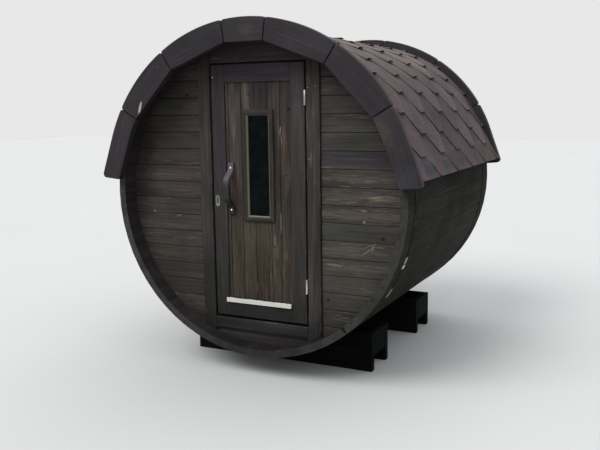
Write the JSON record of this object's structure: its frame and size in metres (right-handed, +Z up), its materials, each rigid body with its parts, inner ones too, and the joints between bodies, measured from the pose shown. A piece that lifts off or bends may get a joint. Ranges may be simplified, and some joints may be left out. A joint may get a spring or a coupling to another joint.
{
  "type": "barrel sauna",
  "caption": "Barrel-shaped wooden sauna cabin on cradles, with a framed hinged door, a narrow window, board end walls and a shingled upper half.",
  "frame": {"origin": "on the ground, under the middle of the barrel", "axes": "+Z up, +Y from the door end to the rear end along the barrel, +X to the right seen from the door end"},
  "size_m": [2.1478, 1.9964, 2.162],
  "materials": {
    "stave_wood": "dark oil stain, weathered",
    "fascia_wood": "dark brown stain, satin",
    "wall_wood": "dark oil stain over visible grain",
    "frame_wood": "dark oil stain over visible grain",
    "deck_wood": "dark oil stain",
    "cradle_wood": "black brown stain",
    "floor_wood": "bare softwood",
    "door_wood": "dark oil stain over visible grain",
    "door_board_wood": "worn brown oil stain over visible grain",
    "bead_wood": "dark oil stain",
    "handle_wood": "dark stain, rubbed",
    "shingles": "mineral grit on bitumen, matt",
    "hoop_steel": "dull, dark, worn bright in places",
    "galvanised_steel": "galvanised, dull",
    "drip_paint": "white paint, satin",
    "window_glass": "clear pane, dark room behind"
  },
  "bodies": {
    "cabin": {"staves_01": "stave_wood", "staves_02": "stave_wood", "staves_03": "stave_wood", "staves_04": "stave_wood", "staves_05": "stave_wood", "staves_06": "stave_wood", "staves_07": "stave_wood", "staves_08": "stave_wood", "staves_09": "stave_wood", "staves_10": "stave_wood", "hoops": "hoop_steel", "roof_deck_right": "deck_wood", "roof_deck_left": "deck_wood", "roof_shingles_right": "shingles", "roof_shingles_left": "shingles", "eaves_battens": "deck_wood", "fascia_front_right": "fascia_wood", "fascia_front_keystone": "fascia_wood", "fascia_front_left": "fascia_wood", "fascia_rear_right": "fascia_wood", "fascia_rear_keystone": "fascia_wood", "fascia_rear_left": "fascia_wood", "cradle_front_saddles": "cradle_wood", "cradle_front_ends": "cradle_wood", "cradle_rear_saddles": "cradle_wood", "cradle_rear_ends": "cradle_wood", "front_wall_left": "wall_wood", "front_wall_right": "wall_wood", "front_wall_bottom": "wall_wood", "rear_wall": "wall_wood", "door_post_left": "frame_wood", "door_post_right": "frame_wood", "door_header": "frame_wood", "door_threshold": "frame_wood", "door_stops": "frame_wood", "floor_slats": "floor_wood", "floor_bearers": "floor_wood", "hinge_post_halves": "galvanised_steel"},
    "door": {"door_stiles": "door_wood", "door_rails": "door_wood", "door_panel": "door_board_wood", "window_glass": "window_glass", "window_beads": "bead_wood", "door_handle": "handle_wood", "lock_escutcheon": "galvanised_steel", "drip_strip": "drip_paint", "hinge_door_halves": "galvanised_steel"}
  },
  "joints": [
    {"name": "door_hinge", "type": "hinge", "parent": "cabin", "child": "door", "pos_m": [0.324, -0.859, 1.122], "axis": [0, 0, 1], "range_deg": [0, 105]}
  ]
}
